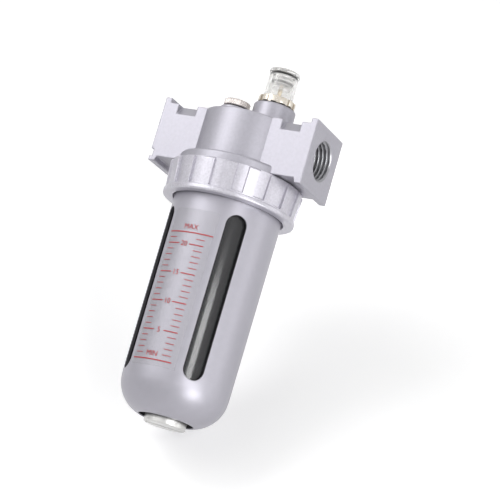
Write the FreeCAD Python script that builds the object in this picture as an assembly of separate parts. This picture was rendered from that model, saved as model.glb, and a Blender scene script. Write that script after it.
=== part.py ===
"""Air line lubricator with a metal bowl guard, for a quarter inch pipe line.

Air flows along +X through the cast body. Oil rises from the clear bowl through
the siphon tube to the sight dome, and drips past the needle into the air.
The frame has +Z up, -Y towards the level scale, and its origin at the centre of
the inlet port's mouth. Sizes are in millimetres. The pieces are drawn about the
bowl's axis, with the port axis at height 0, and moved to the frame when written.
"""
import FreeCAD, Part
import math
import os

Vector = FreeCAD.Vector

# Ports, bored to the major diameter of a quarter inch pipe thread
port_face_x = 26.5
port_bore_radius = 6.58
port_bore_depth = 12.0
air_passage_radius = 5.0

# Cast block that carries the ports
block_half_depth = 10.5
block_top = 8.5
block_bottom = -9.4
end_lip_thickness = 2.2
end_lip_rise = 1.6
foot_drop = 1.5
foot_slope = 0.6
lip_corner_round = 0.35
post_inner_x = 11.4
post_width = 3.5
neck_length = 6.5
neck_chamfer = 3.4
inlet_notch_width = 0.95
inlet_notch_depth = 2.0
inlet_notch_height = 2.3

# Round hub, collar and threaded skirt of the casting
hub_radius = 15.5
hub_edge_round = 0.5
collar_step = 0.4
collar_top = -6.74
collar_edge_round = 0.9
collar_bottom = -9.5
skirt_step = 1.53
skirt_length = 5.1
spigot_wall = 1.0
spigot_length = 2.0

# Sight dome boss and fill plug boss on top of the hub
dome_x = 5.8
dome_boss_radius = 6.67
dome_boss_height = 6.3
dome_socket_radius = 4.4
dome_socket_depth = 3.8
plug_x = -7.4
plug_boss_rim = 0.7
plug_boss_height = 4.0
boss_edge_round = 0.6

# Oil and air drillings in the casting
drilling_radius = 1.0
drip_hole_radius = 0.8
drilling_wall = 0.35
channel_height = 1.0
channel_floor_wall = 0.8
channel_width = 1.8
feed_offset_y = 2.8
riser_angle = 52.0
fill_channel_angle = 132.0
fill_channel_radius = 1.3

# Air damper and the insert that holds it in the air passage
holder_roof = 0.6
holder_flange_step = 0.8
holder_flange_thickness = 1.8
damper_thickness = 1.0
damper_clearance = 0.4
damper_foot_half_width = 3.0
damper_foot_depth = 2.8
damper_foot_root = 1.0

# Check valve between the inlet and the bowl
check_ball_gap = 0.3
check_bore_depth = 4.4
check_ball_radius = 1.5
check_hole_radius = 1.2
check_ring_thickness = 1.2
check_ring_bore = 0.9

# Siphon fitting, tube and filter
siphon_shank_radius = 1.6
siphon_shank_length = 3.0
siphon_flange_radius = 2.1
siphon_flange_thickness = 1.0
siphon_barb_length = 4.0
siphon_tube_radius = 2.0
siphon_tube_wall = 0.75
siphon_floor_gap = 4.7
siphon_side_gap = 0.15
filter_radius = 3.0
filter_grip = 4.0
filter_chamber = 1.0
filter_floor = 1.0

# Sight dome with its threaded base
base_seal_thickness = 0.5
base_seal_setback = 0.3
base_setback = 0.77
base_height = 2.1
base_spigot_length = 3.4
base_notch_count = 12
base_notch_width = 1.2
base_notch_depth = 0.45
dome_seat_depth = 1.0
base_rim = 1.2
dome_wall = 1.2
dome_length = 8.55
dome_edge_round = 0.3

# Drip knob, its two seals and its needle
knob_seal_section = 0.66
knob_overhang = 0.17
knob_thickness = 1.1
knob_edge_round = 0.35
knob_slot_length = 6.0
knob_slot_width = 1.0
knob_slot_depth = 0.45
stem_gap = 0.6
stem_length = 5.0
stem_groove_depth = 0.3
stem_groove_width = 1.0
stem_groove_drop = 2.4
needle_radius = 0.7
needle_grip = 1.5
needle_tip_radius = 0.25
needle_tip_length = 1.4
needle_reach = 0.8

# Fill plug and its seal
plug_bore_radius = 2.95
plug_stem_gap = 0.6
plug_head_step = 1.25
plug_head_height = 2.1
plug_knurl_count = 36
plug_knurl_depth = 0.22
plug_edge_chamfer = 0.3
plug_seal_thickness = 0.45
plug_seal_setback = 0.3

# Lock ring on the skirt of the casting
ring_top_gap = 0.32
ring_lip_thickness = 1.5
ring_guard_gap = 0.53
ring_wall = 2.52
ring_taper = 0.7
ring_lip_proud = 0.4
ring_top_chamfer = 0.5
ring_rib_count = 18
ring_groove_angle = 9.5
ring_groove_depth = 0.8
ring_groove_stop = 0.7
ring_first_groove = 0.5

# Metal bowl guard
guard_flange_gap = 0.18
guard_flange_thickness = 1.6
guard_top_radius = 17.07
guard_taper = 0.35
guard_wall = 1.0
guard_length = 69.4
guard_corner_radius = 10.8
guard_opening_gap = 2.05
guard_slot_count = 4
guard_slot_width = 6.7
guard_slot_drop = 4.1
guard_slot_end_gap = 1.1
guard_first_slot = 41.0

# Clear bowl and its seal
bowl_flange_setback = 0.7
bowl_flange_height = 2.6
bowl_side_gap = 0.42
bowl_end_gap = 3.1
bowl_wall = 2.0
bowl_corner_inset = 3.1
bowl_seal_groove_width = 2.0
bowl_seal_groove_depth = 1.8
bowl_drain_hole_radius = 4.5

# Drain fitting and plug
gasket_thickness = 1.0
gasket_width = 1.9
drain_flange_step = 2.05
drain_flange_height = 3.5
drain_edge_round = 0.3
drain_spigot_length = 5.4
drain_nut_step = 2.1
drain_nut_height = 2.0
drain_bore_radius = 2.98
drain_head_setback = 0.85
drain_head_height = 1.4
drain_head_proud = 0.1
drain_stem_length = 6.2
drain_slot_width = 1.4
drain_slot_depth = 0.7
drain_slot_angle = 35.0
drain_seal_thickness = 0.5
drain_seal_width = 2.12

# Level scale film on the front of the guard
label_thickness = 0.2
label_end_gap = 1.2
label_left_angle = -31.0
label_right_angle = 22.5

# Clearances between pieces that fit together
running_clearance = 0.08
thread_clearance = 0.05
seal_clearance = 0.06
bowl_face_gap = 0.1
spigot_gap = 0.1

# Radii and places that follow from the sizes above
skirt_radius = guard_top_radius + skirt_step
collar_radius = skirt_radius + collar_step
ring_bore = skirt_radius + running_clearance
ring_rib_top_radius = ring_bore + ring_wall
ring_rib_bottom_radius = ring_rib_top_radius - ring_taper
ring_lip_radius = ring_rib_bottom_radius + ring_lip_proud
ring_lip_bore = guard_top_radius + ring_guard_gap
guard_flange_radius = ring_bore - guard_flange_gap
bowl_flange_radius = guard_flange_radius - bowl_flange_setback
guard_bottom_radius = guard_top_radius - guard_taper
bowl_radius = guard_bottom_radius - guard_wall - bowl_side_gap
bowl_inner_radius = bowl_radius - bowl_wall
bowl_corner_radius = guard_corner_radius - bowl_corner_inset
spigot_radius = bowl_inner_radius - spigot_gap
gasket_radius = bowl_drain_hole_radius + gasket_width
drain_nut_radius = bowl_drain_hole_radius + drain_nut_step
drain_flange_radius = bowl_drain_hole_radius + drain_flange_step
drain_head_radius = drain_flange_radius - drain_head_setback
drain_seal_radius = drain_bore_radius + drain_seal_width
guard_opening_radius = drain_flange_radius + guard_opening_gap
riser_reach = spigot_radius - spigot_wall - siphon_tube_radius - siphon_side_gap
holder_flange_radius = riser_reach - siphon_shank_radius - drilling_wall
holder_radius = holder_flange_radius - holder_flange_step
check_bore_radius = check_ball_radius + check_ball_gap
check_x = -(holder_flange_radius + check_bore_radius + drilling_wall)
riser_x = riser_reach * math.cos(math.radians(riser_angle))
riser_y = riser_reach * math.sin(math.radians(riser_angle))
fill_channel_reach = holder_flange_radius + fill_channel_radius + drilling_wall
fill_channel_x = fill_channel_reach * math.cos(math.radians(fill_channel_angle))
fill_channel_y = fill_channel_reach * math.sin(math.radians(fill_channel_angle))
base_radius = dome_boss_radius - base_setback
base_seal_radius = base_radius - base_seal_setback
dome_radius = base_radius - base_rim
dome_inner_radius = dome_radius - dome_wall
knob_radius = dome_radius + knob_overhang
stem_radius = dome_inner_radius - stem_gap
plug_head_radius = plug_bore_radius + plug_head_step
plug_boss_radius = plug_head_radius + plug_boss_rim
plug_seal_radius = plug_head_radius - plug_seal_setback

# Heights that follow from the sizes above
dome_boss_top = block_top + dome_boss_height
plug_boss_top = block_top + plug_boss_height
holder_top = air_passage_radius + holder_roof
channel_floor = holder_top + channel_floor_wall
channel_top = channel_floor + channel_height
base_bottom = dome_boss_top + base_seal_thickness
base_top = base_bottom + base_height
dome_bottom = base_top - dome_seat_depth
dome_top = dome_bottom + dome_length
knob_bottom = dome_top + knob_seal_section + seal_clearance
stem_bottom = knob_bottom - stem_length
skirt_bottom = collar_bottom - skirt_length
bowl_top = skirt_bottom - bowl_face_gap
guard_flange_top = bowl_top - bowl_flange_height
ring_lip_top = guard_flange_top - guard_flange_thickness
ring_bottom = ring_lip_top - ring_lip_thickness
ring_top = collar_bottom - ring_top_gap
guard_bottom = ring_lip_top - guard_length
guard_slot_top = ring_bottom - guard_slot_drop
guard_slot_bottom = guard_bottom + guard_corner_radius + guard_slot_end_gap
label_top = guard_slot_top - label_end_gap
label_bottom = guard_slot_bottom + label_end_gap
bowl_bottom = guard_bottom + bowl_end_gap
bowl_floor = bowl_bottom + bowl_wall
siphon_tube_top = skirt_bottom - siphon_flange_thickness
filter_bottom = bowl_floor + siphon_floor_gap
siphon_tube_bottom = filter_bottom + filter_floor + filter_chamber
drain_flange_top = bowl_bottom - gasket_thickness
drain_flange_bottom = drain_flange_top - drain_flange_height
drain_head_bottom = drain_flange_bottom - drain_head_proud
drain_head_top = drain_head_bottom + drain_head_height
drain_seat = drain_head_top + running_clearance
drain_seal_bottom = drain_seat - drain_seal_thickness


def outline(points, place):
    """Closed wire through points; a third value in a point rounds that corner."""
    corners = []
    for index, point in enumerate(points):
        here = place(point)
        if len(point) < 3:
            corners.append((here, None, here))
            continue
        back = (place(points[index - 1]) - here).normalize()
        ahead = (place(points[(index + 1) % len(points)]) - here).normalize()
        half_angle = back.getAngle(ahead) / 2
        inward = (back + ahead).normalize()
        centre = here + inward * (point[2] / math.sin(half_angle))
        reach = point[2] / math.tan(half_angle)
        corners.append((here + back * reach, centre - inward * point[2], here + ahead * reach))
    edges = []
    for index, (start, middle, finish) in enumerate(corners):
        if middle is not None:
            edges.append(Part.Arc(start, middle, finish).toShape())
        following = corners[(index + 1) % len(corners)][0]
        edges.append(Part.LineSegment(finish, following).toShape())
    return Part.Wire(edges)


def turned(points, x=0.0, y=0.0, angle=360.0):
    """Solid turned about a vertical axis from radius and height pairs."""
    wire = outline(points, lambda point: Vector(x + point[0], y, point[1]))
    return Part.Face(wire).revolve(Vector(x, y, 0), Vector(0, 0, 1), angle)


def rod(radius, bottom, top, x=0.0, y=0.0):
    """Upright cylinder between two heights."""
    return Part.makeCylinder(radius, top - bottom, Vector(x, y, bottom))


def tube(outer_radius, inner_radius, bottom, top, x=0.0, y=0.0):
    """Upright hollow cylinder between two heights."""
    return rod(outer_radius, bottom, top, x, y).cut(rod(inner_radius, bottom, top, x, y))


def block(x_range, y_range, z_range):
    """Box between three pairs of limits."""
    size = [high - low for low, high in (x_range, y_range, z_range)]
    return Part.makeBox(*size, Vector(x_range[0], y_range[0], z_range[0]))


def o_ring(centre_radius, section, height, x=0.0, y=0.0):
    """Round seal whose section has the given diameter."""
    return Part.makeTorus(centre_radius, section / 2, Vector(x, y, height))


def spun(shape, angle, x=0.0):
    """Copy of a shape turned about an upright axis at x."""
    copy = shape.copy()
    copy.rotate(Vector(x, 0, 0), Vector(0, 0, 1), angle)
    return copy


def port_block():
    """Block between the two port faces, with end lips, feet and chamfered necks."""
    lip_x = port_face_x - end_lip_thickness
    foot_bottom = block_bottom - foot_drop
    side = [(lip_x - foot_slope, block_bottom),
            (lip_x, foot_bottom, lip_corner_round),
            (port_face_x, foot_bottom, lip_corner_round),
            (port_face_x, block_top + end_lip_rise, lip_corner_round),
            (lip_x, block_top + end_lip_rise, lip_corner_round),
            (lip_x, block_top)]
    mirrored = [(-point[0],) + point[1:] for point in reversed(side)]
    wire = outline(side + mirrored, lambda point: Vector(point[0], -block_half_depth, point[1]))
    solid = Part.Face(wire).extrude(Vector(0, 2 * block_half_depth, 0))
    cuts = []
    for x_side in (-1, 1):
        for y_side in (-1, 1):
            cuts += neck_cuts(x_side, y_side)
    cuts += [inlet_notch(y_side) for y_side in (-1, 1)]
    return solid.cut(cuts)


def neck_cuts(x_side, y_side):
    """Two wedges that bevel a neck's upper and lower long edges."""
    start = post_inner_x + post_width
    wedges = []
    for edge, inward in ((block_top, -neck_chamfer), (block_bottom, neck_chamfer)):
        edge_y = y_side * block_half_depth
        corners = [Vector(x_side * start, edge_y, edge + inward),
                   Vector(x_side * start, edge_y - y_side * neck_chamfer, edge),
                   Vector(x_side * start, edge_y, edge)]
        wire = Part.makePolygon(corners + corners[:1])
        wedges.append(Part.Face(wire).extrude(Vector(x_side * neck_length, 0, 0)))
    return wedges


def inlet_notch(y_side):
    """Notch in one upright edge of the inlet's face, just above its foot."""
    y_low, y_high = sorted((y_side * block_half_depth, y_side * (block_half_depth - inlet_notch_depth)))
    return block((-port_face_x, -port_face_x + inlet_notch_width), (y_low, y_high),
                 (block_bottom, block_bottom + inlet_notch_height))


def main_body():
    """Casting: block, hub, collar, skirt and bosses, with every bore and drilling."""
    solid = port_block()
    hub = turned([(0, collar_top), (hub_radius, collar_top),
                  (hub_radius, block_top, hub_edge_round), (0, block_top)])
    collar = turned([(0, skirt_bottom), (skirt_radius, skirt_bottom), (skirt_radius, collar_bottom),
                     (collar_radius, collar_bottom), (collar_radius, collar_top, collar_edge_round),
                     (0, collar_top)])
    spigot = tube(spigot_radius, spigot_radius - spigot_wall, skirt_bottom - spigot_length, skirt_bottom)
    dome_boss = boss(dome_x, dome_boss_radius, dome_boss_top)
    plug_boss = boss(plug_x, plug_boss_radius, plug_boss_top)
    solid = solid.fuse([hub, collar, spigot, dome_boss, plug_boss])
    return solid.cut(body_bores() + oil_drillings()).removeSplitter()


def boss(x, radius, top):
    """Round boss that stands on the hub."""
    return turned([(0, 0), (radius, 0), (radius, top, boss_edge_round), (0, top)], x)


def body_bores():
    """Ports, air passage, and the seats for the insert, dome, plug and check valve."""
    along = Vector(1, 0, 0)
    inlet = Part.makeCylinder(port_bore_radius, port_bore_depth, Vector(-port_face_x, 0, 0), along)
    outlet = Part.makeCylinder(port_bore_radius, port_bore_depth, Vector(port_face_x, 0, 0), -along)
    passage = Part.makeCylinder(air_passage_radius, 2 * port_face_x, Vector(-port_face_x, 0, 0), along)
    flange_seat = skirt_bottom + holder_flange_thickness
    check_top = skirt_bottom + check_bore_depth
    return [inlet, outlet, passage,
            rod(holder_radius, skirt_bottom, holder_top),
            rod(holder_flange_radius, skirt_bottom, flange_seat),
            rod(dome_socket_radius, dome_boss_top - dome_socket_depth, dome_boss_top, dome_x),
            rod(plug_bore_radius, channel_top, plug_boss_top, plug_x),
            rod(check_bore_radius, skirt_bottom, check_top, check_x),
            rod(check_hole_radius, check_top, 0, check_x)]


def oil_drillings():
    """Riser and feed to the dome, drip hole, and the channel from the fill plug."""
    socket_floor = dome_boss_top - dome_socket_depth
    half_width = channel_width / 2
    return [rod(siphon_shank_radius, skirt_bottom, skirt_bottom + siphon_shank_length, riser_x, riser_y),
            rod(drilling_radius, skirt_bottom, channel_top, riser_x, riser_y),
            block((dome_x - half_width, dome_x + half_width), (feed_offset_y, riser_y),
                  (channel_floor, channel_top)),
            rod(drip_hole_radius, channel_floor, socket_floor, dome_x, feed_offset_y),
            rod(drip_hole_radius, 0, socket_floor, dome_x),
            rod(fill_channel_radius, skirt_bottom, channel_top, fill_channel_x, fill_channel_y),
            block((fill_channel_x - half_width, fill_channel_x + half_width), (0, fill_channel_y),
                  (channel_floor, channel_top))]


def damper_holder():
    """Insert pressed into the casting from below, with the damper's slot."""
    solid = rod(holder_radius, skirt_bottom, holder_top)
    flange = rod(holder_flange_radius, skirt_bottom, skirt_bottom + holder_flange_thickness)
    passage = Part.makeCylinder(air_passage_radius, 2 * holder_flange_radius,
                                Vector(-holder_flange_radius, 0, 0), Vector(1, 0, 0))
    drip_hole = rod(drip_hole_radius, 0, holder_top, dome_x)
    return solid.fuse(flange).cut([passage, drip_hole, damper_foot()])


def damper_foot():
    """Foot of the damper, below the floor of the air passage."""
    half_thickness = damper_thickness / 2
    return block((-half_thickness, half_thickness),
                 (-damper_foot_half_width, damper_foot_half_width),
                 (-air_passage_radius - damper_foot_depth, -air_passage_radius + damper_foot_root))


def flow_damper():
    """Flexible vane that stands across the air passage."""
    vane = Part.makeCylinder(air_passage_radius - damper_clearance, damper_thickness,
                             Vector(-damper_thickness / 2, 0, 0), Vector(1, 0, 0))
    return vane.fuse(damper_foot()).removeSplitter()


def check_ball():
    """Steel ball that rests on its ring and lifts against the hole above."""
    rise = math.sqrt((check_ball_radius + thread_clearance) ** 2 - check_ring_bore ** 2)
    height = skirt_bottom + check_ring_thickness + rise
    return Part.makeSphere(check_ball_radius, Vector(check_x, 0, height))


def check_ball_retainer():
    """Ring pressed into the bottom of the check valve's bore."""
    return tube(check_bore_radius, check_ring_bore,
                skirt_bottom, skirt_bottom + check_ring_thickness, check_x)


def siphon_fitting():
    """Barbed fitting pressed into the underside of the casting."""
    bottom = siphon_tube_top - siphon_barb_length
    top = skirt_bottom + siphon_shank_length
    bore = siphon_tube_radius - siphon_tube_wall
    solid = turned([(0, bottom), (bore, bottom), (bore, siphon_tube_top),
                    (siphon_flange_radius, siphon_tube_top), (siphon_flange_radius, skirt_bottom),
                    (siphon_shank_radius, skirt_bottom), (siphon_shank_radius, top), (0, top)],
                   riser_x, riser_y)
    hole = rod(drip_hole_radius, bottom, top, riser_x, riser_y)
    return solid.cut(hole)


def siphon_tube():
    """Clear tube pushed over the fitting's barb."""
    return tube(siphon_tube_radius, siphon_tube_radius - siphon_tube_wall,
                siphon_tube_bottom, siphon_tube_top, riser_x, riser_y)


def siphon_filter():
    """Sintered cup on the lower end of the siphon tube."""
    top = siphon_tube_bottom + filter_grip
    body = turned([(0, filter_bottom), (filter_radius, filter_bottom, dome_edge_round),
                   (filter_radius, top, dome_edge_round), (0, top)], riser_x, riser_y)
    grip = rod(siphon_tube_radius, siphon_tube_bottom, top, riser_x, riser_y)
    chamber = rod(siphon_tube_radius - siphon_tube_wall, filter_bottom + filter_floor,
                  siphon_tube_bottom, riser_x, riser_y)
    return body.cut([grip, chamber])


def dome_base():
    """Notched nut that screws into the dome boss and seats the sight dome."""
    spigot_bottom = base_bottom - base_spigot_length
    solid = turned([(0, spigot_bottom), (dome_socket_radius, spigot_bottom),
                    (dome_socket_radius, base_bottom),
                    (base_radius, base_bottom, dome_edge_round), (base_radius, base_top, dome_edge_round),
                    (0, base_top)], dome_x)
    seat = rod(dome_radius, dome_bottom, base_top, dome_x)
    drip_hole = rod(drip_hole_radius, spigot_bottom, dome_bottom, dome_x)
    feeds = [rod(drip_hole_radius / 2, spigot_bottom, dome_bottom, dome_x, side * feed_offset_y)
             for side in (-1, 1)]
    notch_floor = dome_x + base_radius - base_notch_depth
    notch = block((notch_floor, notch_floor + base_radius), (-base_notch_width / 2, base_notch_width / 2),
                  (base_bottom, base_top))
    notches = [spun(notch, index * 360 / base_notch_count, dome_x) for index in range(base_notch_count)]
    return solid.cut([seat, drip_hole] + feeds + notches)


def dome_base_seal():
    """Flat black seal under the dome base."""
    return tube(base_seal_radius, dome_socket_radius, dome_boss_top, base_bottom, dome_x)


def sight_dome():
    """Clear tube through which the drops are seen."""
    return turned([(dome_inner_radius, dome_bottom), (dome_radius, dome_bottom),
                   (dome_radius, dome_top, dome_edge_round),
                   (dome_inner_radius, dome_top, dome_edge_round)], dome_x)


def knob_seal():
    """Black seal between the dome's rim and the knob."""
    return o_ring(dome_radius - knob_seal_section, knob_seal_section,
                  dome_top + knob_seal_section / 2 + seal_clearance / 2, dome_x)


def stem_groove():
    """Radius of the stem groove's floor and its two heights."""
    top = knob_bottom - stem_groove_drop
    return stem_radius - stem_groove_depth, top - stem_groove_width, top


def stem_seal():
    """Black seal in the stem's groove, against the dome's wall."""
    floor, bottom, top = stem_groove()
    section = dome_inner_radius - floor - 2 * seal_clearance
    return o_ring((dome_inner_radius + floor) / 2, section, (bottom + top) / 2, dome_x)


def drip_knob():
    """Clear adjusting knob with its stem inside the dome."""
    floor, groove_bottom, groove_top = stem_groove()
    knob_top = knob_bottom + knob_thickness
    solid = turned([(0, stem_bottom), (stem_radius, stem_bottom), (stem_radius, groove_bottom),
                    (floor, groove_bottom), (floor, groove_top), (stem_radius, groove_top),
                    (stem_radius, knob_bottom), (knob_radius, knob_bottom),
                    (knob_radius, knob_top, knob_edge_round), (0, knob_top)], dome_x)
    half_length = knob_slot_length / 2
    half_width = knob_slot_width / 2
    slot = block((dome_x - half_length, dome_x + half_length), (-half_width, half_width),
                 (knob_top - knob_slot_depth, knob_top))
    return solid.cut([slot, rod(needle_radius, stem_bottom, stem_bottom + needle_grip, dome_x)])


def drip_needle():
    """Brass needle held in the stem, with its tip in the base's drip hole."""
    tip = dome_bottom - needle_reach
    return turned([(0, tip), (needle_tip_radius, tip), (needle_radius, tip + needle_tip_length),
                   (needle_radius, stem_bottom + needle_grip), (0, stem_bottom + needle_grip)], dome_x)


def fill_plug():
    """Knurled plug that closes the filling hole."""
    head_bottom = plug_boss_top + plug_seal_thickness
    head_top = head_bottom + plug_head_height
    blank = turned([(0, head_bottom), (plug_head_radius - plug_edge_chamfer, head_bottom),
                    (plug_head_radius, head_bottom + plug_edge_chamfer),
                    (plug_head_radius, head_top - plug_edge_chamfer),
                    (plug_head_radius - plug_edge_chamfer, head_top), (0, head_top)], plug_x)
    knurl = knurled_prism(plug_head_radius, plug_knurl_depth, plug_knurl_count, head_bottom, head_top)
    stem = rod(plug_bore_radius - thread_clearance, channel_top + plug_stem_gap, head_bottom, plug_x)
    return blank.common(knurl).fuse(stem)


def knurled_prism(radius, depth, count, bottom, top):
    """Straight knurl of V-shaped teeth about the plug's axis."""
    points = []
    for index in range(2 * count):
        angle = math.pi * index / count
        reach = radius - depth * (index % 2)
        points.append(Vector(plug_x + reach * math.cos(angle), reach * math.sin(angle), bottom))
    return Part.Face(Part.makePolygon(points + points[:1])).extrude(Vector(0, 0, top - bottom))


def fill_plug_seal():
    """Flat black seal under the fill plug's head."""
    return tube(plug_seal_radius, plug_bore_radius,
                plug_boss_top, plug_boss_top + plug_seal_thickness, plug_x)


def lock_ring():
    """Ribbed ring that screws on the skirt and holds the guard and bowl."""
    blank = turned([(ring_bore, ring_top), (ring_rib_top_radius - ring_top_chamfer, ring_top),
                    (ring_rib_top_radius, ring_top - ring_top_chamfer),
                    (ring_rib_bottom_radius, ring_lip_top),
                    (ring_lip_radius, ring_lip_top, ring_lip_thickness * 0.25),
                    (ring_lip_radius, ring_bottom, ring_lip_thickness * 0.4),
                    (ring_lip_bore, ring_bottom, ring_lip_thickness * 0.2),
                    (ring_lip_bore, ring_lip_top), (ring_bore, ring_lip_top)])
    grooves = [spun(ring_groove(), ring_first_groove + index * 360 / ring_rib_count)
               for index in range(ring_rib_count)]
    return blank.cut(grooves)


def ring_groove():
    """Cutter for one tapered groove between two ribs, centred on +X."""
    stop = ring_lip_top + ring_groove_stop
    floor_top = ring_rib_top_radius - ring_groove_depth
    floor_bottom = ring_rib_bottom_radius - ring_groove_depth
    outside = ring_rib_top_radius + ring_groove_depth
    cutter = turned([(floor_top, ring_top), (floor_bottom, stop), (outside, stop), (outside, ring_top)],
                    angle=ring_groove_angle)
    return spun(cutter, -ring_groove_angle / 2)


def bowl_guard():
    """Drawn metal shell with a flange, four sight slots and an open bottom."""
    outer = turned([(0, guard_flange_top), (guard_flange_radius, guard_flange_top),
                    (guard_flange_radius, ring_lip_top), (guard_top_radius, ring_lip_top),
                    (guard_bottom_radius, guard_bottom, guard_corner_radius), (0, guard_bottom)])
    inner = turned([(0, guard_flange_top), (guard_top_radius - guard_wall, guard_flange_top),
                    (guard_bottom_radius - guard_wall, guard_bottom + guard_wall,
                     guard_corner_radius - guard_wall),
                    (0, guard_bottom + guard_wall)])
    opening = rod(guard_opening_radius, guard_bottom, guard_bottom + guard_corner_radius)
    slots = [spun(guard_slot(), guard_first_slot - 90 + index * 360 / guard_slot_count)
             for index in range(guard_slot_count)]
    return outer.cut([inner, opening] + slots)


def guard_slot():
    """Cutter for one sight slot with round ends, pointing along +X."""
    half_width = guard_slot_width / 2
    start = guard_bottom_radius - 2 * guard_wall
    reach = 4 * guard_wall
    upper = guard_slot_top - half_width
    lower = guard_slot_bottom + half_width
    middle = block((start, start + reach), (-half_width, half_width), (lower, upper))
    ends = [Part.makeCylinder(half_width, reach, Vector(start, 0, height), Vector(1, 0, 0))
            for height in (lower, upper)]
    return middle.fuse(ends)


def bowl():
    """Clear oil bowl with a flange, a seal groove and a drain hole."""
    outer = turned([(0, bowl_top), (bowl_flange_radius, bowl_top), (bowl_flange_radius, guard_flange_top),
                    (bowl_radius, guard_flange_top), (bowl_radius, bowl_bottom, bowl_corner_radius),
                    (0, bowl_bottom)])
    inner = turned([(0, bowl_top), (bowl_inner_radius, bowl_top),
                    (bowl_inner_radius, bowl_floor, bowl_corner_radius - bowl_wall), (0, bowl_floor)])
    groove = rod(spigot_radius + bowl_seal_groove_width, bowl_top - bowl_seal_groove_depth, bowl_top)
    hole = rod(bowl_drain_hole_radius, bowl_bottom, bowl_floor)
    return outer.cut([inner, groove, hole])


def bowl_seal():
    """Round seal between the bowl's rim and the casting's spigot."""
    room = min(bowl_seal_groove_width, bowl_seal_groove_depth + bowl_face_gap)
    section = room - 2 * seal_clearance
    height = bowl_top - bowl_seal_groove_depth + section / 2
    return o_ring(spigot_radius + bowl_seal_groove_width / 2, section, height)


def drain_body():
    """Plated bushing that clamps the gasket to the bowl and takes the plug's head in its flange."""
    spigot_radius_here = bowl_drain_hole_radius - thread_clearance
    top = drain_flange_top + drain_spigot_length
    solid = turned([(0, drain_flange_bottom), (drain_flange_radius, drain_flange_bottom, drain_edge_round),
                    (drain_flange_radius, drain_flange_top, drain_edge_round),
                    (spigot_radius_here, drain_flange_top), (spigot_radius_here, top), (0, top)])
    head_recess = rod(drain_head_radius + running_clearance, drain_flange_bottom, drain_seat)
    return solid.cut([rod(drain_bore_radius, drain_flange_bottom, top), head_recess])


def drain_gasket():
    """Soft gasket between the bowl and the drain bushing."""
    return tube(gasket_radius, bowl_drain_hole_radius, drain_flange_top, bowl_bottom)


def drain_nut():
    """Hexagon nut inside the bowl that holds the drain bushing."""
    corners = [Vector(drain_nut_radius * math.cos(math.radians(60 * index)),
                      drain_nut_radius * math.sin(math.radians(60 * index)), bowl_floor)
               for index in range(6)]
    prism = Part.Face(Part.makePolygon(corners + corners[:1])).extrude(Vector(0, 0, drain_nut_height))
    return prism.cut(rod(bowl_drain_hole_radius - thread_clearance,
                         bowl_floor, bowl_floor + drain_nut_height))


def drain_plug():
    """Slotted drain screw with a recess for its seal."""
    stem_radius_here = drain_bore_radius - running_clearance
    recess = drain_seal_radius + seal_clearance
    stem_top = drain_seal_bottom + drain_stem_length
    solid = turned([(0, drain_head_bottom), (drain_head_radius, drain_head_bottom, drain_edge_round),
                    (drain_head_radius, drain_head_top), (recess, drain_head_top),
                    (recess, drain_seal_bottom), (stem_radius_here, drain_seal_bottom),
                    (stem_radius_here, stem_top), (0, stem_top)])
    half_width = drain_slot_width / 2
    slot = block((-drain_head_radius, drain_head_radius), (-half_width, half_width),
                 (drain_head_bottom, drain_head_bottom + drain_slot_depth))
    return solid.cut(spun(slot, drain_slot_angle))


def drain_plug_seal():
    """Flat seal carried in the drain plug's recess."""
    return tube(drain_seal_radius, drain_bore_radius, drain_seal_bottom, drain_seat)


def guard_radius_at(height):
    """Outside radius of the guard's tapered wall at a height."""
    share = (ring_lip_top - height) / guard_length
    return guard_top_radius + (guard_bottom_radius - guard_top_radius) * share


def level_label():
    """Clear film with the level scale, wrapped on the guard between two slots."""
    low = guard_radius_at(label_bottom)
    high = guard_radius_at(label_top)
    film = turned([(low, label_bottom), (low + label_thickness, label_bottom),
                   (high + label_thickness, label_top), (high, label_top)],
                  angle=label_right_angle - label_left_angle)
    return spun(film, label_left_angle - 90)


pieces = [main_body, damper_holder, flow_damper, check_ball, check_ball_retainer, siphon_fitting,
          siphon_tube, siphon_filter, dome_base, dome_base_seal, sight_dome, knob_seal, stem_seal,
          drip_knob, drip_needle, fill_plug, fill_plug_seal, lock_ring, bowl_guard, bowl, bowl_seal,
          drain_body, drain_gasket, drain_nut, drain_plug, drain_plug_seal, level_label]

os.makedirs("parts", exist_ok=True)
for piece in pieces:
    shape = piece()
    shape.translate(Vector(port_face_x, 0, 0))
    shape.exportStep("parts/" + piece.__name__ + ".step")
    print(piece.__name__, len(shape.Solids), shape.isValid(), round(shape.Volume, 2))
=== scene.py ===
"""Looks of the air line lubricator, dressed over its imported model.

Shapes are drawn in millimetres about the bowl's axis, with the port axis at
height 0, and are moved to the frame in metres when each piece is finished.
"""

import math

import bmesh
import bpy
from mathutils import Matrix, Vector


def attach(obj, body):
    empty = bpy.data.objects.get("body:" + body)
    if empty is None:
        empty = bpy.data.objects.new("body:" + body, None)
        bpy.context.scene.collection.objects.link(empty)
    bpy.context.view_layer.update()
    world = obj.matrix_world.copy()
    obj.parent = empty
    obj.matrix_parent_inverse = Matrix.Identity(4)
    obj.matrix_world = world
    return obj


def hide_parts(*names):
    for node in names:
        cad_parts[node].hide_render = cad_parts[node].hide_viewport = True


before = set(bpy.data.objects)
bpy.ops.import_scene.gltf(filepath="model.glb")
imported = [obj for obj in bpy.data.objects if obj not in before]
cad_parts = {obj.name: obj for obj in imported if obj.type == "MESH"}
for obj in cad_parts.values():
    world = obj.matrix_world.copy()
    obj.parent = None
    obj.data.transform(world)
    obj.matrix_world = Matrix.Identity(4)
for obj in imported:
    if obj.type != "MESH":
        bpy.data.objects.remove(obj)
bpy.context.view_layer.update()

# Casting: port block with a lip at each end, hub, collar and skirt
HALF_LENGTH, BLOCK_HALF_WIDTH = 26.5, 10.5
BLOCK_TOP, BLOCK_BOTTOM = 8.5, -9.4
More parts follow.
